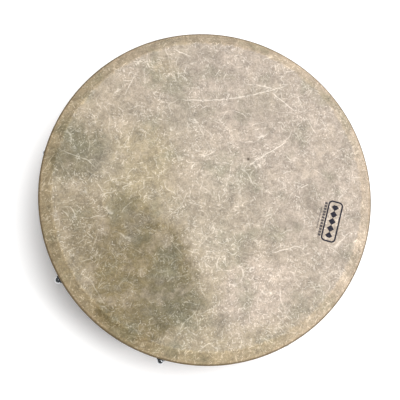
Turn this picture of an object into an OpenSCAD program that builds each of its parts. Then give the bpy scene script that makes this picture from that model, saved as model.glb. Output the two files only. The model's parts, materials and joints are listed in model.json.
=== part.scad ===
// Tunable frame drum: a bent-ply hoop with a lapped head, tightened from inside
// by a bearing ring that eight screws push up against the skin.
// The drum stands on its open back, head up. Origin: centre of the back edge.

/* [Drum] */
// Diameter over the lapped head
head_d = 406; // [380:1:440]
// Depth of the hoop, from the back edge to the rim
depth = 114; // [112:1:130]
// Wall thickness of the hoop
wall = 8; // [7:0.5:9]

/* [Head] */
// Thickness of the laminated head
film_t = 0.35; // [0.25:0.05:0.5]
// Width of the sloping collar, from the bearing ring's crown to the outside
collar_w = 17; // [14:0.5:19]
// Rise of the playing surface over the rim of the hoop
collar_h = 10; // [7:0.5:12]
// How far the head laps down the outside of the hoop
skirt_h = 26; // [20:1:28]

/* [Tuning] */
// Number of tuners round the hoop
tuners = 8; // [6:1:8]
// Direction of the first tuner
tuner_phase = 22.5; // [15:0.5:30]
// Depth of the tuner bolts below the playing surface
bolt_drop = 57; // [54:0.5:60]
// Radial thickness of the bearing ring
ring_t = 11; // [10:0.5:12]
// Height of the bearing ring
ring_h = 24; // [22:1:26]
// Width of a tuner bracket
bracket_w = 22; // [20:1:24]

/* [Crossbars] */
// Width of a crossbar
bar_w = 18; // [16:1:22]
// Height of a crossbar
bar_h = 14; // [12:1:16]
// Gap under the crossbars
bar_lift = 29; // [20:1:32]

/* [Hidden] */
$fn = 96;
fit = 0.05;           // glue line or working gap between neighbours
edge_r = 3;           // rounding of the rim and of the ring's crown
foot_r = 2;           // rounding of the hoop's other edges

// The hoop and the head
head_r = head_d / 2;
shell_r = head_r - film_t - fit;
bore_r = shell_r - wall;
rim_r = shell_r - edge_r;
rim_z = depth - edge_r;
crown_r = head_r - collar_w;
crown_z = depth + collar_h - edge_r;
collar_normal = 90 - atan2(crown_z - rim_z, rim_r - crown_r);
head_top = depth + collar_h + fit + film_t;
skirt_z = depth - skirt_h;
band_t = 0.8;
band_drop = 6;                        // trim below the skirt's edge, on the bare wood
band_rise = 8;                        // trim above the skirt's edge, over the head

// The bearing ring and its thrust plates
ring_out = crown_r + edge_r;
ring_in = ring_out - ring_t;
ring_z = depth + collar_h - ring_h;
plate_t = 1.5;
plate_w = 26;
plate_z = ring_z - plate_t;
plate_mid = (ring_in + ring_out) / 2;
plate_pitch = 9.5;    // from a plate's centre to each of its screws
tack_r = 1;
tack_head_r = 1.9;
tack_head_h = 0.9;
tack_point = 2;
tack_len = 9;                         // how far a tack reaches into the ring

// The tuners
screw_x = ring_out - 8;
screw_r = 3;
screw_head_r = 5;
screw_head_h = 6;
screw_len = 38;
screw_tip = 2;
screw_z = plate_z - fit - screw_len;
socket_af = 5;
socket_h = 3.5;
tap_r = screw_r + 0.06;
leg_t = 2.5;
bend_r = 3.5;
corner_r = 4;                         // rounding of a bracket's corners
gusset_t = 2;
gusset_lift = 5;                      // from a bracket's foot to its gussets
gusset_in = 4;                        // from the shelf's inner end to its gussets
gusset_lip = 3;                       // width of a gusset at either end
bolt_z = head_top - bolt_drop;
shelf_rise = 15.6;                    // from a bracket's bolt to the top of its shelf
leg_z = bolt_z + shelf_rise;
leg_drop = 31;                        // height of a bracket
shelf_beyond = 7.5;                   // how far a bracket's shelf passes its screw's axis
boss_r = 5.5;
boss_h = 5;
bracket_x = sqrt(bore_r * bore_r - bracket_w * bracket_w / 4) - fit;
shelf_x = screw_x - shelf_beyond;     // inner end of a bracket's shelf
bolt_r = 3;
bolt_hole_r = 3.3;
bolt_head_r = 5.25;
bolt_head_h = 3.3;
bolt_socket_af = 4;
bolt_socket_h = 2.1;
washer_r = 6;
washer_t = 1;
nut_af = 10;
nut_h = 3.6;
dome_r = 4.75;
nut_len = 8.5;
nut_x = shell_r + fit + washer_t;
thread_in_nut = 5;

// The crossbars and their screws
bar_round = 4;
bar_z = bar_lift + bar_h / 2;
wood_screw_r = 1.75;
wood_screw_len = 34;
wood_screw_point = 4;
wood_clear = 0.2;                     // clearance of the crossbars' screws in the hoop and washers
pilot_len = wood_screw_len + 1;       // depth of the screws' pilot holes, from the hoop's face
wood_head_r = 4;
wood_head_h = 2.3;
wood_head_rise = 1.2;                 // domed part of the head, over the cup washer
slot_l = 4.4;
slot_w = 0.8;
slot_h = 0.6;
cup_r = 6.5;
cup_h = 1.8;

wood_tan = [0.72, 0.50, 0.30];
ply_pale = [0.82, 0.68, 0.48];
skin_tan = [0.77, 0.70, 0.60];
zinc = [0.70, 0.71, 0.72];

SINGLE_NODES = [
    "shell", "head_film", "binding_band", "tuning_ring", "thrust_plates",
    "plate_tacks", "bracket_bolts", "bolt_washers", "cap_nuts",
    "crossbar_long", "crossbar_cross", "cup_washers", "crossbar_screws"
];

// Points on a circular arc, both ends included
function arc(x, y, r, from, to, steps) =
    [for (i = [0:steps]) let (a = from + (to - from) * i / steps)
        [x + r * cos(a), y + r * sin(a)]];

function reversed(list) = [for (i = [len(list) - 1:-1:0]) list[i]];

// A rectangle about the origin with rounded corners
function rounded_rectangle(w, h, r) = concat(
    arc(w / 2 - r, h / 2 - r, r, 0, 90, 6),
    arc(r - w / 2, h / 2 - r, r, 90, 180, 6),
    arc(r - w / 2, r - h / 2, r, 180, 270, 6),
    arc(w / 2 - r, r - h / 2, r, 270, 360, 6)
);

// The head's section at one distance outside the ring's crown and the rim
function skin_path(gap) = concat(
    [[0, crown_z + edge_r + gap]],
    arc(crown_r, crown_z, edge_r + gap, 90, collar_normal, 6),
    arc(rim_r, rim_z, edge_r + gap, collar_normal, 0, 6),
    [[shell_r + gap, skirt_z]]
);

// Puts a child, drawn on the +X side, at every tuner
module at_tuners() {
    for (k = [1:tuners]) at_tuner(k) children();
}

module at_tuner(k) {
    rotate([0, 0, tuner_phase + (k - 1) * 360 / tuners]) children();
}

// Puts a child, drawn on the +X side, at both ends of both crossbars
module at_bar_ends() {
    for (a = [0:90:270]) rotate([0, 0, a]) children();
}

// Stands a child, drawn upwards, on a point of the +X side so that it faces out
module facing_out(x, z) {
    translate([x, 0, z]) rotate([0, 90, 0]) children();
}

module shell() {
    color(wood_tan) difference() {
        rotate_extrude() polygon(concat(
            arc(shell_r - foot_r, foot_r, foot_r, 270, 360, 5),
            arc(rim_r, rim_z, edge_r, 0, 90, 6),
            arc(bore_r + foot_r, depth - foot_r, foot_r, 90, 180, 5),
            arc(bore_r + foot_r, foot_r, foot_r, 180, 270, 5)
        ));
        at_tuners() facing_out(bore_r - 1, bolt_z) cylinder(h = wall + 2, r = bolt_hole_r);
        at_bar_ends() facing_out(bore_r - 1, bar_z)
            cylinder(h = wall + 2, r = wood_screw_r + wood_clear);
    }
}

module head_film() {
    color(skin_tan) rotate_extrude()
        polygon(concat(skin_path(fit + film_t), reversed(skin_path(fit))));
}

// A flat strip that hides the cut edge of the head's skirt
module binding_band() {
    low = skirt_z - band_drop;
    high = skirt_z + band_rise;
    color([0.16, 0.11, 0.08]) rotate_extrude() polygon([
        [shell_r + fit, low], [shell_r + band_t, low], [head_r + band_t, low + 2],
        [head_r + band_t, high - 0.4], [head_r + band_t - 0.4, high],
        [head_r + fit, high], [head_r + fit, skirt_z - fit], [shell_r + fit, skirt_z - fit]
    ]);
}

// The crown that carries the head, bevelled away inwards
module tuning_ring() {
    crown = arc(crown_r, crown_z, edge_r, 0, 135, 8);
    last = crown[len(crown) - 1];
    color(ply_pale) difference() {
        rotate_extrude() polygon(concat(
            [[ring_in, ring_z], [ring_out, ring_z]],
            crown,
            [[ring_in, last[1] - (last[0] - ring_in)]]
        ));
        at_plate_tacks() translate([0, 0, -1]) cylinder(h = tack_len + 1.5, r = tack_r + fit);
    }
}

// Puts a child at both tacks of every thrust plate, on the ring's underside
module at_plate_tacks() {
    at_tuners() for (side = [-1, 1])
        translate([plate_mid, side * plate_pitch, ring_z]) children();
}

module thrust_plates() {
    color(zinc) difference() {
        at_tuners() translate([plate_mid, 0, plate_z]) linear_extrude(plate_t)
            polygon(rounded_rectangle(ring_t - 1, plate_w, 3));
        at_plate_tacks() translate([0, 0, -plate_t - 1]) cylinder(h = plate_t + 2, r = tack_r + fit);
        at_plate_tacks() translate([0, 0, -plate_t - fit])
            cylinder(h = 1, r1 = tack_head_r + 2 * fit, r2 = tack_r + fit);
    }
}

module plate_tacks() {
    shank = tack_len + plate_t - tack_point;
    color("silver") at_plate_tacks() translate([0, 0, -plate_t]) {
        cylinder(h = tack_head_h, r1 = tack_head_r, r2 = tack_r);
        cylinder(h = shank, r = tack_r);
        translate([0, 0, shank]) cylinder(h = tack_point, r1 = tack_r, r2 = 0.2);
    }
}

// A folded steel shelf with two gussets and a tapped boss
module tuner_bracket(k) {
    foot = leg_z - leg_drop;
    color(zinc) at_tuner(k) difference() {
        union() {
            bracket_fold(foot);
            for (side = [-1, 1])
                translate([0, side * (bracket_w - gusset_t) / 2, 0]) bracket_gusset(foot);
            translate([screw_x, 0, leg_z - leg_t - boss_h]) cylinder(h = boss_h + leg_t, r = boss_r);
        }
        translate([screw_x, 0, foot]) cylinder(h = leg_drop + 1, r = tap_r);
        facing_out(bracket_x - 2 * leg_t, bolt_z) cylinder(h = 3 * leg_t, r = bolt_hole_r);
    }
}

// Lays a section, drawn in X and Z, across the width of a bracket
module across(width) {
    rotate([90, 0, 0]) linear_extrude(width, center = true) children();
}

// The bent strip, with the corners of both ends rounded
module bracket_fold(foot) {
    half = bracket_w / 2;
    reach = bracket_x - shelf_x;
    strip = concat(
        [[bracket_x, foot]],
        arc(bracket_x - bend_r, leg_z - bend_r, bend_r, 0, 90, 6),
        [[shelf_x, leg_z], [shelf_x, leg_z - leg_t]],
        arc(bracket_x - bend_r, leg_z - bend_r, bend_r - leg_t, 90, 0, 4),
        [[bracket_x - leg_t, foot]]
    );
    intersection() {
        across(bracket_w) polygon(strip);
        translate([0, 0, foot - 1]) linear_extrude(leg_drop + 2) polygon(concat(
            [[bracket_x + 1, -half], [bracket_x + 1, half]],
            arc(shelf_x + corner_r, half - corner_r, corner_r, 90, 180, 6),
            arc(shelf_x + corner_r, corner_r - half, corner_r, 180, 270, 6)
        ));
        translate([shelf_x - 1, 0, 0]) rotate([90, 0, 90]) linear_extrude(reach + 2) polygon(concat(
            [[half, leg_z + 1], [-half, leg_z + 1]],
            arc(corner_r - half, foot + corner_r, corner_r, 180, 270, 6),
            arc(half - corner_r, foot + corner_r, corner_r, 270, 360, 6)
        ));
    }
}

module bracket_gusset(foot) {
    top = leg_z - leg_t / 2;
    back = bracket_x - leg_t / 2;
    low = foot + gusset_lift;
    front = shelf_x + gusset_in;
    across(gusset_t) polygon([
        [back, low], [back, top], [front, top], [front, top - gusset_lip], [back - gusset_lip, low]
    ]);
}

// A socket cap screw that points up at its thrust plate
module tuning_screw(k) {
    color([0.25, 0.25, 0.27]) at_tuner(k) translate([screw_x, 0, screw_z]) difference() {
        union() {
            cylinder(h = screw_len - screw_tip, r = screw_r);
            translate([0, 0, screw_len - screw_tip])
                cylinder(h = screw_tip, r1 = screw_r, r2 = screw_r - 1);
            rotate_extrude() polygon([
                [0, 0], [screw_head_r - 0.4, 0], [screw_head_r, -0.4], [screw_head_r, 0.5 - screw_head_h],
                [screw_head_r - 0.5, -screw_head_h], [0, -screw_head_h]
            ]);
        }
        translate([0, 0, -screw_head_h - 1]) hex_prism(socket_af, socket_h + 1);
    }
}

// A hexagonal bar, measured across its flats
module hex_prism(af, h) {
    cylinder(h = h, r = af / 2 / cos(30), $fn = 6);
}

// Button-head bolts, put in from inside the hoop
module bracket_bolts() {
    face = bracket_x - leg_t;
    shank = nut_x + thread_in_nut - face;
    color("silver") at_tuners() facing_out(face, bolt_z) difference() {
        union() {
            cylinder(h = shank, r = bolt_r);
            rotate_extrude() polygon(concat(
                [[0, 0]],
                arc(0, 0, bolt_head_r, 0, -25, 3),
                [[bolt_head_r * 0.62, -bolt_head_h], [0, -bolt_head_h]]
            ));
        }
        translate([0, 0, -bolt_head_h - 1]) hex_prism(bolt_socket_af, bolt_socket_h + 1);
    }
}

module bolt_washers() {
    color("silver") at_tuners() facing_out(shell_r + fit, bolt_z) difference() {
        cylinder(h = washer_t - fit, r = washer_r);
        translate([0, 0, -1]) cylinder(h = washer_t + 2, r = bolt_hole_r);
    }
}

// Domed nuts on the outside of the hoop
module cap_nuts() {
    color([0.85, 0.86, 0.88]) at_tuners() facing_out(nut_x, bolt_z) difference() {
        union() {
            intersection() {
                hex_prism(nut_af, nut_h);
                cylinder(h = nut_h, r1 = nut_af / 2 + nut_h, r2 = nut_af / 2 + 0.1);
            }
            rotate_extrude() polygon(concat(
                [[0, 0]],
                arc(0, nut_len - dome_r, dome_r, 0, 90, 10)
            ));
            cylinder(h = nut_len - dome_r, r = dome_r);
        }
        translate([0, 0, -1]) cylinder(h = thread_in_nut + 2, r = bolt_r + fit);
    }
}

// A rounded rail across the hoop, halved at the middle. over is 1 where the notch is on top
module crossbar(over) {
    notch = bar_h / 2 + fit;
    difference() {
        intersection() {
            translate([0, 0, bar_z]) rotate([90, 0, 90]) linear_extrude(2 * bore_r, center = true)
                polygon(rounded_rectangle(bar_w, bar_h, bar_round));
            cylinder(h = depth, r = bore_r - fit);
        }
        translate([-bar_w / 2 - fit, -bar_w, over > 0 ? bar_z - fit : bar_z + fit - notch - 1])
            cube([bar_w + 2 * fit, 2 * bar_w, notch + 1]);
        for (a = [0, 180]) rotate([0, 0, a])
            facing_out(shell_r - pilot_len, bar_z) cylinder(h = pilot_len, r = wood_screw_r + fit);
    }
}

module crossbar_long() {
    color(wood_tan) crossbar(1);
}

module crossbar_cross() {
    color(wood_tan) rotate([0, 0, 90]) crossbar(-1);
}

module cup_washers() {
    hole_r = wood_screw_r + wood_clear;
    color([0.85, 0.86, 0.88]) at_bar_ends() facing_out(shell_r + fit, bar_z) difference() {
        cylinder(h = cup_h, r1 = cup_r, r2 = wood_head_r + 0.9);
        translate([0, 0, -1]) cylinder(h = cup_h + 2, r = hole_r);
        translate([0, 0, cup_h - wood_head_h + wood_clear])
            cylinder(h = wood_head_h, r1 = hole_r, r2 = wood_head_r + wood_clear);
    }
}

// Raised countersunk wood screws, through the hoop into the ends of the crossbars
module crossbar_screws() {
    head = wood_head_r - 0.1;
    cone = wood_head_h - 2 * wood_clear;
    seat = cup_h - cone;
    shank = wood_screw_len - wood_screw_point;
    color([0.85, 0.86, 0.88]) at_bar_ends() facing_out(shell_r + fit, bar_z) difference() {
        union() {
            translate([0, 0, seat]) cylinder(h = cone, r1 = wood_screw_r, r2 = head);
            translate([0, 0, cup_h]) rotate_extrude() polygon(concat(
                [[0, 0], [head, 0]],
                [for (a = [15:15:90]) [head * cos(a), wood_head_rise * sin(a)]]
            ));
            translate([0, 0, seat - shank]) cylinder(h = shank, r = wood_screw_r);
            translate([0, 0, seat - wood_screw_len])
                cylinder(h = wood_screw_point, r1 = 0.3, r2 = wood_screw_r);
        }
        for (a = [0, 90]) rotate([0, 0, a]) translate([-slot_l / 2, -slot_w / 2, cup_h - slot_h])
            cube([slot_l, slot_w, slot_h + 2 * wood_head_rise]);
    }
}

shell();
head_film();
binding_band();
tuning_ring();
thrust_plates();
plate_tacks();
bracket_bolts();
bolt_washers();
cap_nuts();
crossbar_long();
crossbar_cross();
cup_washers();
crossbar_screws();
for (k = [1:tuners]) {
    tuner_bracket(k);
    tuning_screw(k);
}
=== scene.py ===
import json
import math

import bmesh
import bpy
from mathutils import Matrix, Vector, noise


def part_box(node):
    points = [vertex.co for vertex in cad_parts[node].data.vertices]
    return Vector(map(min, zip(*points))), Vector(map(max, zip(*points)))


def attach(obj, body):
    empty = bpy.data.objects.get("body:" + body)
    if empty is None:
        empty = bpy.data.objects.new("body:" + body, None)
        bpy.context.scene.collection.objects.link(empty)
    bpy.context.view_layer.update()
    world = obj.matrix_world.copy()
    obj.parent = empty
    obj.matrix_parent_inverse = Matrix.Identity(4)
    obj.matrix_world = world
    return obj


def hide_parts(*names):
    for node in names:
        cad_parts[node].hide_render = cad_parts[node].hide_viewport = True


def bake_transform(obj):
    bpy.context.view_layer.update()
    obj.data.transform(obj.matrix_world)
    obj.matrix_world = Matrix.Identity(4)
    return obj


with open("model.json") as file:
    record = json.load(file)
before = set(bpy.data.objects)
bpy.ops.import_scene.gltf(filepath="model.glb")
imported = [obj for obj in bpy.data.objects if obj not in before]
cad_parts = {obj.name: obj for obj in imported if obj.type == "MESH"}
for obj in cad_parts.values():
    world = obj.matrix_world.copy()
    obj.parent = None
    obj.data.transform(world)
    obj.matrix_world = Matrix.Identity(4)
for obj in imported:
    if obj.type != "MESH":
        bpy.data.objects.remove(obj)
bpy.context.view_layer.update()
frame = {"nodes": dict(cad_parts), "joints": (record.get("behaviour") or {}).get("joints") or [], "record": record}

# Looks, light and camera for a tunable frame drum that stands on its open back.
# Lengths are metres in the CAD frame; MM turns millimetres into them.

MM = 0.001
TAU = 2 * math.pi

HEAD_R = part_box("head_film")[1].x
HEAD_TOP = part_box("head_film")[1].z
SKIRT_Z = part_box("head_film")[0].z
SHELL_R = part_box("shell")[1].x
SHELL_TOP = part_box("shell")[1].z
RING_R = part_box("tuning_ring")[1].x
RING_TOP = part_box("tuning_ring")[1].z
FILM_T = 0.35 * MM
WALL_T = 8 * MM                       # thickness of the hoop
RING_W = 11 * MM                      # width of the bearing ring
EDGE_R = 3 * MM                       # rounding of the hoop's rim and of the ring's crown
GAP = 0.05 * MM                       # glue line under the film
CROWN_SHARE = (RING_R - EDGE_R) / HEAD_R

FLOOR_PALE = 0.8                      # reflectance that shows as white in this light
ROOM_PALE = 0.97                      # how bright the room shows to the camera
IMAGE_UP = 82.85                      # CAD direction that points up in the image
IMAGE_TURN = 90 - IMAGE_UP


def compass(degrees):
    """A horizontal unit vector."""
    return Vector((math.cos(math.radians(degrees)), math.sin(math.radians(degrees)), 0))


# ---------------------------------------------------------------- shader nodes

def srgb(red, green, blue):
    """A colour given the way a screen shows it, 0 to 255, as linear RGBA."""
    def linear(value):
        value /= 255
        return value / 12.92 if value <= 0.04045 else ((value + 0.055) / 1.055) ** 2.4
    return (linear(red), linear(green), linear(blue), 1.0)


def shown(red, green, blue):
    """The reflectance of something that shows as this colour beside the pale floor."""
    return tuple(value * FLOOR_PALE for value in srgb(red, green, blue)[:3]) + (1.0,)


def even(value):
    """A neutral colour."""
    return (value, value, value, 1.0)


def plug(slot, value):
    """Links a Field to an input, or sets the input to a plain value."""
    if isinstance(value, Field):
        slot.id_data.links.new(value.socket, slot)
    else:
        slot.default_value = value


class Field:
    """A shader output that takes part in arithmetic; each operation adds one Math node."""

    def __init__(self, socket):
        self.socket = socket

    def math(self, operation, *others, clamp=False):
        node = self.socket.id_data.nodes.new("ShaderNodeMath")
        node.operation = operation
        node.use_clamp = clamp
        for slot, value in zip(node.inputs, (self, *others)):
            plug(slot, value)
        return Field(node.outputs[0])

    def __add__(self, other):
        return self.math("ADD", other)

    def __sub__(self, other):
        return self.math("SUBTRACT", other)

    def __mul__(self, other):
        return self.math("MULTIPLY", other)

    def __truediv__(self, other):
        return self.math("DIVIDE", other)

    def __neg__(self):
        return self.math("MULTIPLY", -1.0)

    def rsub(self, other):
        """other - self"""
        return (-self) + other

    def size(self):
        return self.math("ABSOLUTE")

    def clamped(self):
        return self.math("ADD", 0.0, clamp=True)

    def between(self, low, high):
        """0 at low and under, 1 at high and over, with a smooth rise; falls if low is over high."""
        node = self.socket.id_data.nodes.new("ShaderNodeMapRange")
        node.interpolation_type = "SMOOTHSTEP"
        flip = low > high
        values = (self, min(low, high), max(low, high), float(flip), 1.0 - flip)
        for name, value in zip(("Value", "From Min", "From Max", "To Min", "To Max"), values):
            plug(node.inputs[name], value)
        return Field(node.outputs["Result"])


class Outputs:
    """A new node, whose outputs are read as Fields."""

    def __init__(self, node):
        self.node = node

    def get(self, name):
        return Field(self.node.outputs[name])


class Look:
    """A node material, with short calls for the nodes it is built from."""

    def __init__(self, name):
        self.material = bpy.data.materials.new(name)
        self.material.use_nodes = True
        self.tree = self.material.node_tree
        self.tree.nodes.clear()
        self.here = self.add("TexCoord").get("Object")
        self.x, self.y, self.z = self.split(self.here)

    def add(self, kind, inputs=None, **settings):
        node = self.tree.nodes.new("ShaderNode" + kind)
        for name, value in settings.items():
            setattr(node, name, value)
        for name, value in (inputs or {}).items():
            plug(node.inputs[name], value)
        return Outputs(node)

    def split(self, vector):
        out = self.add("SeparateXYZ", {0: vector})
        return out.get("X"), out.get("Y"), out.get("Z")

    def join(self, x, y, z):
        return self.add("CombineXYZ", {0: x, 1: y, 2: z}).get(0)

    def vector(self, operation, *values):
        return self.add("VectorMath", dict(enumerate(values)), operation=operation).get(0)

    def turned(self, vector, angle):
        """A vector turned about the drum's axis."""
        return self.add("VectorRotate", {"Vector": vector, "Angle": angle}, rotation_type="Z_AXIS").get(0)

    def radius(self):
        """Distance from the drum's axis."""
        return (self.x * self.x + self.y * self.y).math("SQRT")

    def around(self):
        """Angle round the drum's axis, in radians."""
        return self.y.math("ARCTAN2", self.x)

    def noise(self, at, scale, detail=2.0, rough=0.5, twist=0.0, part="Fac"):
        inputs = {"Vector": at, "Scale": scale, "Detail": detail, "Roughness": rough, "Distortion": twist}
        return self.add("TexNoise", inputs).get(part)

    def stretched(self, x, y, z):
        """The place in the CAD frame, scaled differently along each axis."""
        return self.vector("MULTIPLY", self.here, (x, y, z))

    def mix(self, share, a, b, mode="MIX"):
        return self.add("Mix", {0: share, 6: a, 7: b}, data_type="RGBA", blend_type=mode).get(2)

    def grey(self, value):
        return self.add("CombineColor", {0: value, 1: value, 2: value}).get(0)

    def ramp(self, value, *stops):
        """Colours at places along 0 to 1."""
        out = self.add("ValToRGB", {0: value})
        elements = out.node.color_ramp.elements
        while len(elements) < len(stops):
            elements.new(1.0)
        for element, (place, colour) in zip(elements, stops):
            element.position = place
            element.color = colour
        return out.get("Color")

    def bump(self, height, depth, strength):
        return self.add("Bump", {"Height": height, "Distance": depth, "Strength": strength}).get("Normal")

    def finish(self, colour, rough, normal, metal=0.0, **more):
        inputs = {"Base Color": colour, "Roughness": rough, "Metallic": metal, "Normal": normal}
        inputs.update({name.replace("_", " "): value for name, value in more.items()})
        self.close(self.add("BsdfPrincipled", inputs).get("BSDF"))
        return self.material

    def close(self, shader):
        self.add("OutputMaterial", {"Surface": shader})


# ---------------------------------------------------------------- marks, stains and painted shadow and light on the head

# Places on the head are a direction in degrees and a share of its radius from the centre.
# A stain or a patch of painted shadow adds a size, again as a share of the radius, and a strength.
# The olive table holds patches of painted shadow, darkest to the lower left, on the side away from the light.
OLIVE_SHADOW = ((234, 0.66, 0.40, 1.0), (209, 0.64, 0.48, 1.0), (226, 0.42, 0.25, 1.0),
               (186, 0.47, 0.20, 0.6), (228, 0.80, 0.34, 0.8))
DULL_STAINS = ((-8, 0.17, 0.28, 0.9), (94, 0.94, 0.24, 1.0), (104, 0.46, 0.30, 0.8),
               (53, 0.66, 0.20, 1.0), (158, 0.60, 0.20, 1.0))
DARK_STAINS = ((179, 0.50, 0.12, 0.7), (226, 0.42, 0.14, 1.0), (205, 0.50, 0.13, 0.7),
               (243, 0.66, 0.29, 1.0))
PALE_STAINS = ((68, 0.14, 0.22, 1.0), (270, 0.30, 0.26, 1.0))

# Single long hairs: the place of the middle, then lean in the image, half length in mm and bow
LONG_HAIRS = (
    (68, 0.60, 10, 78, -1.6),
    (28, 0.42, 32, 34, 0.0),
    (94, 0.86, -22, 12, -9.0),
    (268, 0.42, 78, 11, 8.0),
    (44, 0.72, -38, 22, 0.0),
    (120, 0.80, 62, 15, 6.0),
    (316, 0.55, 16, 24, 1.5),
)
NICK_PLACE = compass(35) * 0.305 * HEAD_R
NICK_R = 2.8 * MM
MARK_ANGLE = -19.6                    # direction of the printed mark
MARK_PLACE = compass(MARK_ANGLE) * 0.737 * HEAD_R
MARK_TURN = -2.7                      # its turn away from square


def spot(look, at, degrees, share, size, squeeze=1.0, lean=0.0):
    """1 at a place on the head and 0 beyond size; squeeze narrows it across its lean."""
    centre = compass(degrees) * share * HEAD_R
    away = look.vector("SUBTRACT", at, centre)
    along, across, _ = look.split(look.turned(away, -math.radians(lean)))
    across = across * squeeze
    return (along * along + across * across).math("SQRT").between(size * HEAD_R, 0.0)


def spots(look, at, places, operation="MAXIMUM"):
    """Several spots in one."""
    found = None
    for degrees, share, size, strength in places:
        one = spot(look, at, degrees, share, size) * strength
        found = one if found is None else found.math(operation, one)
    return found


def dot(look, away, radius):
    """1 at the origin of a vector, falling to 0 at a radius."""
    return look.add("VectorMath", {0: away}, operation="LENGTH").get("Value").between(radius, radius * 0.3)


def right_side(look):
    """-1 to 1 across the head, rising toward the lit side, where the light makes the head palest."""
    return (look.x * 0.95 - look.y * 0.3) / HEAD_R


def printed_mark(look):
    """Plain ink, with sizes in mm: a rounded frame round a row of diamonds, over two broken rules."""
    away = look.vector("SUBTRACT", look.here, MARK_PLACE)
    out, along, _ = look.split(look.turned(away, -math.radians(MARK_ANGLE + MARK_TURN)))
    out = out / MM
    along = along / MM

    def box(half_along, half_out, middle, rounding):
        """Signed distance to a rounded rectangle, negative inside."""
        a = (along.size() - (half_along - rounding)).math("MAXIMUM", 0.0)
        o = ((out - middle).size() - (half_out - rounding)).math("MAXIMUM", 0.0)
        return (a * a + o * o).math("SQRT") - rounding

    def rule(place, half_width, half_along, pitch, full):
        """A row of dashes; the pairs say where an edge starts to fade in and is full."""
        row = (out + place).size().between(*half_width) * along.size().between(*half_along)
        return row * ((along / pitch).math("FRACT") - 0.5).size().between(0.44, full)

    middle = 2.0
    pitch = 8.8
    frame_line = box(24.5, 8.4, middle, 4.5).size().between(1.2, 0.8)
    cell = (along / pitch + 0.5).math("FRACT") - 0.5
    diamond = (cell.size() * pitch + (out - middle).size()).between(5.0, 4.2)
    ink = frame_line.math("MAXIMUM", diamond * along.size().between(20.4, 20.2))
    ink = ink.math("MAXIMUM", rule(9.8, (1.9, 1.5), (21.5, 21.0), 3.6, 0.34) * 0.85)
    ink = ink.math("MAXIMUM", rule(14.4, (1.0, 0.7), (13.5, 13.0), 1.9, 0.3) * 0.6)
    worn = look.noise(look.here, 900.0, 2.0, 0.6).between(0.18, 0.42)
    return ink * (worn * 0.35 + 0.65)


def head_stains_and_shadow(look, flat):
    """The film's ground, pinkish beige with stains, painted olive shadow to one side and painted light toward the
    other, and the painted shadow's share.
    """
    # Two noises push the stains' edges about; added vectors keep one noise apart from another
    broad = look.vector("SUBTRACT", look.noise(flat, 10.0, 3.0, 0.6, part="Color"), (0.5, 0.5, 0.5))
    ragged = look.vector("SUBTRACT", look.noise(flat, 60.0, 3.0, 0.6, part="Color"), (0.5, 0.5, 0.5))
    at = look.vector("MULTIPLY_ADD", broad, (0.05, 0.05, 0), look.here)
    at = look.vector("MULTIPLY_ADD", ragged, (0.035, 0.035, 0), at)
    # Painted light: the ground grows paler and pinker toward the side the light comes from.
    light_ramp = (look.x * 0.84 + look.y * 0.54) / HEAD_R
    ground = look.mix(light_ramp.between(-0.6, 0.5), shown(184, 169, 143), shown(195, 180, 165))

    # Painted shadow: olive patches on the side away from the light.
    olive = spots(look, at, OLIVE_SHADOW, "ADD")
    ground = look.mix(olive.between(0.05, 0.9), ground, shown(141, 126, 92))
    left = spot(look, at, 186, 0.76, 0.34)
    ground = look.mix(left * 0.8, ground, shown(146, 132, 105))
    green = spot(look, at, 156, 0.80, 0.32, 1.3, 66)
    ground = look.mix(green.between(0.05, 0.7) * 0.9, ground, shown(136, 127, 103))
    yellow = spot(look, at, 156, 0.42, 0.46, 1.3, 60)
    yellow = yellow.math("MAXIMUM", spot(look, at, 104, 0.80, 0.24) * 0.6)
    ground = look.mix(yellow.between(0.1, 0.8) * 0.6, ground, shown(182, 166, 130))
    ground = look.mix(spots(look, at, DULL_STAINS) * 0.5, ground, shown(162, 153, 135))
    ground = look.mix(spots(look, at, DARK_STAINS) * 0.7, ground, shown(114, 110, 88))
    blush = spot(look, at, 287, 0.64, 0.40, 1.4, 20)
    ground = look.mix(blush.between(0.05, 0.6) * 0.8, ground, shown(208, 191, 175))
    ground = look.mix(spots(look, at, PALE_STAINS) * 0.55, ground, shown(208, 195, 175))

    cloud = look.noise(look.vector("ADD", flat, (3.0, 1.0, 0)), 24.0, 3.0, 0.65)
    hue = look.noise(look.vector("ADD", flat, (1.0, 6.0, 0)), 16.0, 2.0, 0.5)
    murk = look.mix(hue.between(0.40, 0.58), shown(150, 140, 124), shown(148, 145, 122))
    ground = look.mix(cloud.between(0.47, 0.66) * 0.5, ground, murk)
    ground = look.mix(cloud.between(0.50, 0.34) * 0.35, ground, shown(208, 191, 170))
    return ground, olive.clamped()


# ---------------------------------------------------------------- fibres in the head

def fibres(look, at, cell, reach, width, share, bend, seed):
    """How much of a pale fibre covers each point. A cell of the plane may hold one, and that share of
    them do; reach and width are half a fibre's length and width, and bend curls it."""
    grid = look.vector("MULTIPLY_ADD", at, (1 / cell, 1 / cell, 0), (seed * 7.31, seed * 3.77, 0))
    wander = look.noise(grid, 1.1, 1.0, part="Color")
    grid = look.vector("ADD", grid, look.vector("MULTIPLY", wander, (0.5, 0.5, 0)))
    seeds = look.add("TexVoronoi", {"Vector": grid, "Scale": 1.0}, voronoi_dimensions="2D")
    turn, long, curl = look.split(seeds.get("Color"))
    luck = look.add("TexWhiteNoise", {"Vector": seeds.get("Position")}, noise_dimensions="2D").get("Value")
    away = look.vector("SUBTRACT", grid, seeds.get("Position"))
    along, across, _ = look.split(look.turned(away, turn * TAU))
    across = across + (curl - 0.5) * bend * along * along
    place = along / (long * 0.65 + 0.35) * (cell / reach)
    ends = ((place * place).rsub(1.0) * 2.0).clamped()
    cover = (across.size() * (cell / width)).rsub(1.0).clamped()
    strength = ((luck - (1 - share)) * (1 / share)).clamped()
    return cover * ends * strength


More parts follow.
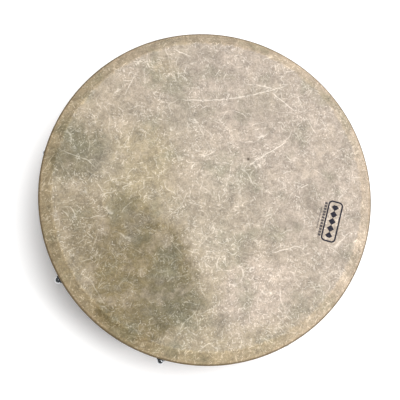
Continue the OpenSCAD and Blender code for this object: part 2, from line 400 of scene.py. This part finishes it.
def strands(look, at, scale, lines, width, share, seed):
    """Curly strands: level lines of a smooth noise, broken up by a second one."""
    moved = look.vector("ADD", at, (seed * 1.7, seed * 0.9, 0))
    level = look.noise(moved, scale, 1.0, 0.4, twist=0.7)
    off = ((level * lines).math("FRACT") - 0.5).size()
    keep = look.noise(look.vector("ADD", moved, (4.0, 2.0, 0)), scale * 1.6, 3.0, 0.6)
    return off.between(width, 0.0) * keep.between(0.5 + share, 0.66 + share)


def long_hairs(look, flat):
    """The single long hairs, all with one slight wobble."""
    found = None
    wobble = (look.noise(flat, 90.0, 1.0) - 0.5) * 4 * MM
    for degrees, share, lean, half, bow in LONG_HAIRS:
        away = look.vector("SUBTRACT", flat, compass(degrees) * share * HEAD_R)
        along, across, _ = look.split(look.turned(away, -math.radians(lean - IMAGE_TURN)))
        across = across + along * along * bow
        line = (across + wobble).size().between(0.9 * MM, 0.2 * MM)
        line = line * along.size().between(half * MM, half * 0.6 * MM)
        found = line if found is None else found.math("MAXIMUM", line)
    return found


def matted_fibres(look, flat, mottle):
    """Specks, threads, curls and hairs laid over each other, thickest along veins."""
    veins = look.noise(look.vector("ADD", flat, (5.0, 2.0, 0)), 26.0, 3.0, 0.6, twist=0.8)
    crowd = (veins - 0.5).size().between(0.11, 0.01)

    def layer(cell, reach, width, share, bend, seed):
        """Fibres with their sizes in mm."""
        return fibres(look, flat, cell * MM, reach * MM, width * MM, share, bend, seed)

    specks = layer(2.6, 1.6, 0.65, 0.5, 0.5, 1)
    short = layer(4.6, 4.0, 0.6, 0.45, 0.9, 2)
    threads = layer(8.6, 8.0, 0.65, 0.45, 1.0, 3)
    curls = strands(look, flat, 44.0, 5.0, 0.14, -0.02, 4)
    straw = layer(3.6, 3.8, 0.7, 0.85, 0.4, 7).math("MAXIMUM", layer(5.6, 6.0, 0.6, 0.85, 0.4, 9))
    hairs = layer(17.0, 15.0, 0.8, 0.45, 0.9, 5).math("MAXIMUM", layer(33.0, 32.0, 0.75, 0.5, 0.5, 6))
    pale = (specks * (crowd * 1.3 + 0.1)).math("MAXIMUM", short * (crowd * 1.2 + 0.15))
    pale = pale.math("MAXIMUM", threads * (crowd * 0.8 + 0.4)).math("MAXIMUM", curls * (crowd * 0.6 + 0.2))
    broken = mottle.between(0.36, 0.56) * 0.6 + 0.4
    pale = pale.math("MAXIMUM", hairs.math("MAXIMUM", long_hairs(look, flat)) * broken)
    return pale.math("MAXIMUM", straw * 0.34)


def head_edges(look, colour, felt, mottle):
    """Browner over the collar where the ring shows through the film, paler there toward the lit side as painted
    light, with a painted highlight line and a painted shade line at the rim.
    """
    share = look.radius() / HEAD_R
    edge = (mottle - 0.5) * 0.05 + share
    collar = edge.between(CROWN_SHARE - 0.012, CROWN_SHARE + 0.012)
    # The collar is tinted browner where the ring shows through, and painted light makes it paler toward the lit
    # side.
    collar_tint_and_light = look.mix(right_side(look).between(0.0, 0.8), (1.06, 1.01, 0.89, 1), (1.15, 1.11, 1.03, 1))
    colour = look.mix(collar, colour, look.mix(1.0, colour, collar_tint_and_light, "MULTIPLY"))
    # Painted highlight: a pale line where the rim's rounding catches the light.
    bright = (share - 0.981).size().between(0.007, 0.0)
    colour = look.mix(bright * (felt * 1.3 - 0.3).clamped() * 0.6, colour, shown(214, 180, 138))
    # Painted shade: a dark line on the steep outer rounding of the rim, which faces away from the light.
    rim = share.between(0.986, 0.992) * look.z.between(SKIRT_Z + 14 * MM, SKIRT_Z + 22 * MM)
    return look.mix(rim * 0.8, colour, shown(116, 96, 66))


def head_look():
    """Laminated film: stains with painted shadow and light, a felt of fine fibres, paler fibres, painted highlight
    and shade at the edges, and a printed mark.
    """
    look = Look("head_laminate")
    unroll = (look.z.rsub(SHELL_TOP) / HEAD_R).math("MAXIMUM", 0.0) + 1.0
    flat = look.join(look.x * unroll, look.y * unroll, 0.0)
    colour, shadow_share = head_stains_and_shadow(look, flat)

    felt = look.noise(flat, 420.0, 3.0, 0.85, twist=0.4)
    mottle = look.noise(look.vector("ADD", flat, (2.0, 5.0, 0)), 70.0, 3.0, 0.9)
    depth = (felt - 0.5) + (mottle - 0.5) * 1.4 + 0.925
    colour = look.mix(1.0, colour, look.grey(depth), "MULTIPLY")
    pale = matted_fibres(look, flat, mottle)
    # The pale fibres show dimmer in the painted shadow.
    pale = (pale * (felt * 1.8 + 0.4) * (shadow_share * -0.4 + 1.0)).clamped()
    lifted = look.mix(1.0, colour, (1.6, 1.6, 1.66, 1), "MULTIPLY")
    colour = look.mix(pale, colour, look.mix(0.4, lifted, shown(250, 244, 230)))
    nick = dot(look, look.vector("SUBTRACT", flat, NICK_PLACE), NICK_R)
    colour = look.mix(nick * 0.8, colour, shown(84, 70, 56))
    colour = head_edges(look, colour, felt, mottle)

    # The ink sits on the film's outer face and shows faintly through it
    _, _, up = look.split(look.add("NewGeometry").get("Normal"))
    outside = up.between(0.0, 0.5) * 0.85 + 0.15
    colour = look.mix(printed_mark(look) * outside, colour, shown(34, 34, 48))

    normal = look.bump(felt, 0.06 * MM, 0.6)
    plastic = look.add("BsdfPrincipled", {"Base Color": colour, "Roughness": felt * 0.2 + 0.5,
                                          "Normal": normal, "Specular IOR Level": 0.15}).get("BSDF")
    through = look.add("BsdfTranslucent", {"Color": colour, "Normal": normal}).get(0)
    look.close(look.add("MixShader", {0: 0.06, 1: plastic, 2: through}).get(0))
    return look.material


# ---------------------------------------------------------------- wood, metal and trim

def wood_look(name, tones, across, along, rough, coat=0.0, edges=None):
    """Wood in dark, middle and light tones; grain runs round the drum, or else along one axis."""
    dark, mid, light = tones
    look = Look(name)
    if along is None:
        at = look.stretched(14.0, 14.0, across)
        pores_at = look.stretched(60.0, 60.0, across * 4)
    else:
        scale = [across] * 3
        scale[along] = across * 0.03
        at = look.stretched(*scale)
        scale = [across * 5] * 3
        scale[along] = across * 0.12
        pores_at = look.stretched(*scale)
    rings = look.noise(at, 1.0, 5.0, 0.62, twist=1.4)
    pores = look.noise(pores_at, 1.0, 3.0, 0.7)
    tone = look.noise(look.here, 9.0, 3.0)
    colour = look.ramp(rings, (0.28, dark), (0.5, mid), (0.74, light))
    colour = look.mix(pores.between(0.56, 0.72) * 0.45, colour, dark)
    colour = look.mix(tone.between(0.35, 0.7) * 0.3, colour, mid)
    if edges is not None:
        colour = edges(look, colour)
    normal = look.bump(pores * 0.6 + rings * 0.4, 0.12 * MM, 0.5)
    wear = look.noise(look.here, 40.0, 4.0, 0.65)
    return look.finish(colour, wear * 0.25 + rough, normal, Coat_Weight=coat, Coat_Roughness=0.18)


def hoop_edges(look, colour):
    """Bare plies on the back edge, a scarf joint across the hoop, and a paler unstained inside."""
    depth = (look.radius() - (SHELL_R - WALL_T)) / WALL_T
    ply = (depth * 6).math("FRACT")
    plies = ply.between(0.42, 0.5) * ply.between(1.0, 0.92)
    stripes = look.mix(plies, srgb(196, 160, 112), srgb(128, 86, 50))
    grain = look.noise(look.here, 500.0, 3.0, 0.7) * 0.3 + 0.85
    stripes = look.mix(1.0, stripes, look.grey(grain), "MULTIPLY")
    bare = look.mix(0.5, colour, srgb(206, 168, 118))
    colour = look.mix(depth.between(0.3, 0.1), colour, bare)
    edge = look.z.between(1.6 * MM, 1.2 * MM) * depth.between(0.03, 0.08) * depth.between(0.97, 0.92)
    colour = look.mix(edge, colour, stripes)
    seam = look.around() * HEAD_R - (look.z - 50 * MM) * 0.7 - 90 * MM
    return look.mix(seam.size().between(0.35 * MM, 0.15 * MM) * 0.7, colour, srgb(52, 30, 16))


def ring_edges(look, colour):
    """Plies of the bent ring, seen on its underside and bevel."""
    ply = ((look.radius() - (RING_R - RING_W)) / RING_W * 8).math("FRACT")
    plies = ply.between(0.44, 0.52) * ply.between(1.0, 0.92)
    _, _, up = look.split(look.add("NewGeometry").get("Normal"))
    return look.mix(plies * up.size().between(0.3, 0.5) * 0.8, colour, srgb(140, 98, 58))


def metal_look(name, colour, tint, rough, scratch, dirt=None):
    """Plated steel with fine random scratches, cloudy plating and grime in the grain."""
    look = Look(name)
    cloud = look.noise(look.here, 160.0, 4.0, 0.6)
    fine = look.noise(look.here, 2500.0, 3.0, 0.7)
    lines = look.noise(look.stretched(900.0, 9000.0, 900.0), 1.0, 2.0, 0.6)
    base = look.mix(cloud.between(0.3, 0.7), colour, tint)
    if dirt is not None:
        base = look.mix(look.noise(look.here, 90.0, 5.0, 0.7).between(0.58, 0.75) * 0.7, base, dirt)
    normal = look.bump(lines * 0.5 + fine * 0.5, 0.02 * MM, scratch)
    return look.finish(base, cloud * 0.22 + fine * 0.1 + rough, normal, metal=1.0)


def binding_look():
    """Dark woven trim, lacquered down."""
    look = Look("trim_strip")
    thread = 0.9 * math.pi            # turn of the weave's wave for each millimetre
    warp = (look.around() * (HEAD_R / MM) * thread).math("SINE")
    weft = (look.z / MM * thread).math("SINE")
    weave = warp * weft
    lint = look.noise(look.here, 700.0, 4.0, 0.7)
    colour = look.mix(weave.between(-0.6, 0.8) * 0.6, srgb(38, 29, 24), srgb(66, 52, 42))
    colour = look.mix(lint.between(0.5, 0.8) * 0.35, colour, srgb(104, 86, 70))
    normal = look.bump(weave * 0.5 + lint * 0.5, 0.15 * MM, 0.8)
    return look.finish(colour, lint * 0.25 + 0.5, normal)


# ---------------------------------------------------------------- meshes

def unit(value):
    """Kept between 0 and 1."""
    return min(max(value, 0.0), 1.0)


def place_mesh(name, mesh, look):
    """Puts a mesh in the scene with its material."""
    piece = bpy.data.objects.new(name, mesh)
    bpy.context.scene.collection.objects.link(piece)
    mesh.materials.append(look)
    return piece


def mesh_piece(name, verts, faces, look):
    mesh = bpy.data.meshes.new(name)
    mesh.from_pydata(verts, [], faces)
    mesh.update()
    return place_mesh(name, mesh, look)


# ---------------------------------------------------------------- the head

HEAD_STEPS = 384                      # points round the head
CRIMP = 0.5 * MM                      # how far the skirt's puckers stand out


def arc(x, z, radius, start, end, steps):
    """Points on a circular arc in the section plane, both ends included."""
    angles = [math.radians(start + (end - start) * i / steps) for i in range(steps + 1)]
    return [(x + radius * math.cos(a), z + radius * math.sin(a)) for a in angles]


def line(start, end, steps):
    """Points on a straight line in the section plane, its start left out and its end included."""
    return [(start[0] + (end[0] - start[0]) * i / steps, start[1] + (end[1] - start[1]) * i / steps)
            for i in range(1, steps + 1)]


def skin_section(gap):
    """The head's section at a distance outside the ring's crown and the rim, from the axis outwards."""
    crown_r = RING_R - EDGE_R
    crown_z = RING_TOP - EDGE_R
    rim_r = SHELL_R - EDGE_R
    rim_z = SHELL_TOP - EDGE_R
    slope = 90 - math.degrees(math.atan2(crown_z - rim_z, rim_r - crown_r))
    radius = EDGE_R + gap
    face = line((0, crown_z + radius), (crown_r, crown_z + radius), 24)[:-1]
    crown = arc(crown_r, crown_z, radius, 90, slope, 8)
    rim = arc(rim_r, rim_z, radius, slope, 0, 12)
    collar = line(crown[-1], rim[0], 5)[:-1]
    skirt = line((SHELL_R + gap, rim_z), (SHELL_R + gap, SKIRT_Z), 10)
    return face + crown + collar + rim + skirt


def crimp_at(z, angle):
    """Small outward puckers where the film is drawn down the side of the hoop."""
    depth = unit((SHELL_TOP - z) / (14 * MM))
    clear = unit((z - SKIRT_Z - 8.5 * MM) / (5 * MM))
    wave = noise.noise(Vector((math.cos(angle) * 14, math.sin(angle) * 14, z * 20)))
    return max(wave, 0.0) * CRIMP * depth * clear


def head_points(section, crimped):
    """The section swept round the axis, then its middle point."""
    points = []
    for radius, z in section:
        for i in range(HEAD_STEPS):
            angle = TAU * i / HEAD_STEPS
            r = radius + (crimp_at(z, angle) if crimped else 0.0)
            points.append((r * math.cos(angle), r * math.sin(angle), z))
    return points + [(0, 0, section[0][1])]


def build_head():
    """The film as a closed skin: its face, its collar over the ring and rim, and its skirt."""
    outer = head_points(skin_section(GAP + FILM_T), True)
    inner = head_points(skin_section(GAP), False)
    last = len(outer) // HEAD_STEPS - 1

    def index(ring, i, layer):
        return layer * len(outer) + ring * HEAD_STEPS + i % HEAD_STEPS

    def quad(i, ring, layer, next_ring, next_layer):
        return (index(ring, i, layer), index(next_ring, i, next_layer),
                index(next_ring, i + 1, next_layer), index(ring, i + 1, layer))

    top = len(outer) - 1
    bottom = top + len(inner)
    faces = []
    for i in range(HEAD_STEPS):
        faces.append((top, index(0, i, 0), index(0, i + 1, 0)))
        faces.append((bottom, index(0, i + 1, 1), index(0, i, 1)))
        for ring in range(last):
            faces.append(quad(i, ring, 0, ring + 1, 0))
            faces.append(quad(i, ring + 1, 1, ring, 1))
        faces.append(quad(i, last, 0, last, 1))
    head = mesh_piece("head", outer + inner, faces, head_look())
    head.data.shade_smooth()
    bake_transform(head)
    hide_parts("head_film")


# ---------------------------------------------------------------- the tuning screws

SCREW_R = 3 * MM                      # over the thread
SCREW_LEAD = 1 * MM
THREAD_DEPTH = 0.61 * MM
THREAD_ROWS = 8                       # rings of points for each turn of the thread
SHAFT_STEPS = 48                      # points round the shaft
TIP_TAPER = 1 * MM                    # how much the radius falls over the tip
TIP_H = 2 * MM
SCREW_HEAD_H = 6 * MM
KNURLS = 72
KNURL_DEPTH = 0.22 * MM
SOCKET_R = 2.5 * MM                   # from the axis to a flat of the hexagon
SOCKET_H = 3.2 * MM
SOCKET_CONE = 0.8 * MM                # the drill's point beyond the flats
CHAMFER = 0.25 * MM


def ring_points(bm, steps, radius_at, z):
    """A ring of points round the screw's axis; the radius may change from point to point."""
    points = []
    for i in range(steps):
        angle = TAU * i / steps
        r = radius_at(i, angle)
        points.append(bm.verts.new((r * math.cos(angle), r * math.sin(angle), z)))
    return points


def skin(bm, lower, upper):
    """Faces between two rings of points."""
    count = len(lower)
    for i in range(count):
        j = (i + 1) % count
        bm.faces.new((lower[i], lower[j], upper[j], upper[i]))


def screw_shaft(bm, root_z, tip_z):
    """Rings of points whose radius follows the thread's helix."""
    rows = int((tip_z - root_z) / (SCREW_LEAD / THREAD_ROWS))
    rings = []
    for row in range(rows + 1):
        z = root_z + (tip_z - root_z) * row / rows
        cut = unit((z - root_z) / (2 * MM)) * unit((tip_z - z) / (2.2 * MM))
        core = SCREW_R - TIP_TAPER * (1 - unit((tip_z - z) / TIP_H))

        def radius_at(i, angle):
            phase = (z / SCREW_LEAD - i / SHAFT_STEPS) % 1.0
            groove = 1 - min(abs(phase - 0.5) * 2.4, 1.0)
            return core - THREAD_DEPTH * groove * cut

        rings.append(ring_points(bm, SHAFT_STEPS, radius_at, z))
    for lower, upper in zip(rings, rings[1:]):
        skin(bm, lower, upper)
    bm.faces.new(list(reversed(rings[0])))
    bm.faces.new(rings[-1])


def screw_head(bm, low_z, head_r):
    """A knurled side with chamfers, and a hexagonal socket from below."""
    steps = KNURLS * 2

    def side(inset, knurl):
        return lambda i, angle: head_r - inset - (knurl if i % 2 else 0.0)

    def hexagon(inset):
        return lambda i, angle: (SOCKET_R + inset) / math.cos((angle + TAU / 12) % (TAU / 6) - TAU / 12)

    profile = ((0.5 * MM, 0.0, 0.0), (0.0, KNURL_DEPTH, 0.5 * MM), (0.0, KNURL_DEPTH, 4.9 * MM),
               (0.2 * MM, 0.0, 5.4 * MM), (0.5 * MM, 0.0, SCREW_HEAD_H))
    rings = [ring_points(bm, steps, side(inset, knurl), low_z + up) for inset, knurl, up in profile]
    for lower, upper in zip(rings, rings[1:]):
        skin(bm, lower, upper)
    bm.faces.new(rings[-1])

    socket = ((CHAMFER, 0.0), (0.0, CHAMFER), (0.0, SOCKET_H))
    holes = [rings[0]] + [ring_points(bm, steps, hexagon(inset), low_z + up) for inset, up in socket]
    for outer, inner in zip(holes, holes[1:]):
        skin(bm, inner, outer)
    tip = bm.verts.new((0, 0, low_z + SOCKET_H + SOCKET_CONE))
    floor = holes[-1]
    for i in range(steps):
        bm.faces.new((floor[(i + 1) % steps], floor[i], tip))


def tuning_screw(joint, look):
    """A socket cap screw with a knurled head, a hexagonal socket and a helical thread."""
    node = joint["child"]
    low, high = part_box(node)
    bm = bmesh.new()
    screw_shaft(bm, low.z + SCREW_HEAD_H, high.z)
    screw_head(bm, low.z, (high.x - low.x) / 2)
    name = node.replace("tuning_screw", "cap_screw")
    mesh = bpy.data.meshes.new(name)
    bm.to_mesh(mesh)
    bm.free()
    x, y, _ = joint["pos_m"]
    mesh.transform(Matrix.Translation((x, y, 0)))
    piece = place_mesh(name, mesh, look)
    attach(piece, node)
    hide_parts(node)


# ---------------------------------------------------------------- the drum

def paint(node, look):
    """Gives a carried-over CAD node its material."""
    mesh = frame["nodes"][node].data
    mesh.materials.clear()
    mesh.materials.append(look)


def paint_wood():
    hoop = (srgb(92, 50, 26), srgb(132, 78, 42), srgb(166, 108, 62))
    ply = (srgb(170, 130, 84), srgb(200, 164, 114), srgb(220, 190, 142))
    rail = (srgb(104, 62, 34), srgb(142, 92, 54), srgb(172, 122, 78))
    paint("shell", wood_look("hoop_veneer", hoop, 600.0, None, 0.22, coat=0.5, edges=hoop_edges))
    paint("tuning_ring", wood_look("ring_ply", ply, 500.0, None, 0.5, edges=ring_edges))
    paint("crossbar_long", wood_look("bar_wood_long", rail, 260.0, 0, 0.36, coat=0.15))
    paint("crossbar_cross", wood_look("bar_wood_cross", rail, 260.0, 1, 0.36, coat=0.15))


def paint_metal():
    """Zinc inside the drum and chrome outside it, as the record's slots say."""
    looks = {
        "zinc_steel": metal_look("zinc_plate", srgb(176, 178, 180), srgb(196, 194, 182), 0.3, 0.3,
                                 srgb(120, 112, 98)),
        "chrome": metal_look("chrome_plate", srgb(222, 224, 226), srgb(214, 217, 221), 0.05, 0.05),
    }
    for part in frame["record"]["subparts"]:
        if part["material_slot"] in looks:
            paint(part["node"], looks[part["material_slot"]])


def build_drum():
    build_head()
    paint_wood()
    paint("binding_band", binding_look())
    paint_metal()
    black = metal_look("black_oxide", srgb(46, 46, 50), srgb(62, 60, 60), 0.32, 0.2, srgb(84, 70, 58))
    for joint in frame["joints"]:
        if joint["child"].startswith("tuning_screw_"):
            tuning_screw(joint, black)


# ---------------------------------------------------------------- floor, light and camera

CAMERA_FROM = 790.56 * MM             # distance from the middle of the head
CAMERA_LEAN = 11.83                   # degrees off the drum's axis
CAMERA_SIDE = 222.46                  # direction it leans in
CAMERA_AIM = Vector((-13.98, -7.61, 0)) * MM
LENS_MM = 59.7
SENSOR_MM = 36
FLOOR_HALF = 6                        # half the floor's width
# Painted light: the glow below is seen only by the camera and lightens the floor and the drum's cast shadow.
FLOOR_CAMERA_GLOW = 0.21                     # light that comes up through the paper
FLOOR_FAR = (0.6, 1.8)                # radii between which the paper fades into the room
LIGHT_FROM = 2.4                      # distance of the lights from the origin


def looking(place, target, up):
    """World matrix of a camera or light at place that faces target."""
    back = (place - target).normalized()
    side = up.cross(back).normalized()
    rows = Matrix((side, back.cross(side), back)).transposed()
    return Matrix.Translation(place) @ rows.to_4x4()


def build_camera():
    middle = Vector((0, 0, HEAD_TOP))
    lean = math.radians(CAMERA_LEAN)
    away = compass(CAMERA_SIDE) * math.sin(lean) + Vector((0, 0, math.cos(lean)))
    data = bpy.data.cameras.new("camera")
    data.lens = LENS_MM
    data.sensor_width = SENSOR_MM
    camera = bpy.data.objects.new("camera", data)
    camera.matrix_world = looking(middle + away * CAMERA_FROM, middle + CAMERA_AIM, compass(IMAGE_UP))
    bpy.context.scene.collection.objects.link(camera)
    bpy.context.scene.camera = camera


def floor_look():
    """White paper with a painted glow that only the camera sees, which lightens the drum's cast shadow; far away
    it blends into the pale room.
    """
    look = Look("floor_paper")
    grain = look.noise(look.here, 300.0, 4.0, 0.6)
    colour = look.mix(grain, even(FLOOR_PALE * 1.08), even(FLOOR_PALE * 1.12))
    paper = look.add("BsdfPrincipled", {"Base Color": colour, "Roughness": 0.9}).get("BSDF")
    seen = look.add("LightPath").get("Is Camera Ray")
    # Painted light: a glow for the camera alone, which lifts the cast shadow on the floor.
    glow = look.add("Emission", {"Color": (0.96, 0.99, 1.0, 1), "Strength": seen * FLOOR_CAMERA_GLOW}).get(0)
    room = look.add("Emission", {"Color": even(1.0), "Strength": ROOM_PALE}).get(0)
    lit = look.add("AddShader", {0: paper, 1: glow}).get(0)
    look.close(look.add("MixShader", {0: look.radius().between(*FLOOR_FAR) * seen, 1: lit, 2: room}).get(0))
    return look.material


def build_floor():
    corners = [(-1, -1), (1, -1), (1, 1), (-1, 1)]
    verts = [(x * FLOOR_HALF, y * FLOOR_HALF, 0) for x, y in corners]
    mesh_piece("floor", verts, [(0, 1, 2, 3)], floor_look())


def area_light(name, degrees, height, size, power):
    """A round soft light that faces the origin."""
    data = bpy.data.lights.new(name, "AREA")
    data.shape = "DISK"
    data.size = size
    data.energy = power
    light = bpy.data.objects.new(name, data)
    up = math.radians(height)
    place = (compass(degrees) * math.cos(up) + Vector((0, 0, math.sin(up)))) * LIGHT_FROM
    light.matrix_world = looking(place, Vector((0, 0, 0)), Vector((0.1, 0.9, 0.1)))
    bpy.context.scene.collection.objects.link(light)


def build_world():
    """A soft pale room: bright to the camera and to matt surfaces, dimmer in reflections."""
    world = bpy.data.worlds.new("room")
    world.use_nodes = True
    bpy.context.scene.world = world
    nodes = world.node_tree.nodes
    nodes.clear()

    def background(strength, colour):
        node = nodes.new("ShaderNodeBackground")
        node.inputs["Color"].default_value = colour
        node.inputs["Strength"].default_value = strength
        return node.outputs[0]

    def choose(flag, no, yes):
        node = nodes.new("ShaderNodeMixShader")
        for slot, socket in zip(node.inputs, (flag, no, yes)):
            plug(slot, Field(socket))
        return node.outputs[0]

    path = nodes.new("ShaderNodeLightPath")
    room = background(0.35, (1.0, 0.99, 0.97, 1))
    mirrored = background(0.06, (0.9, 0.95, 1.0, 1))
    seen = background(ROOM_PALE, even(1.0))
    shader = choose(path.outputs["Is Glossy Ray"], room, mirrored)
    shader = choose(path.outputs["Is Camera Ray"], shader, seen)
    out = nodes.new("ShaderNodeOutputWorld")
    plug(out.inputs[0], Field(shader))


def build_stage():
    build_floor()
    build_world()
    area_light("key", 30, 79, 1.1, 50)
    area_light("fill", 327, 47, 0.8, 18)
    settings = bpy.context.scene.view_settings
    settings.view_transform = "Standard"
    settings.look = "None"
    settings.exposure = 0.0


build_drum()
build_stage()
build_camera()
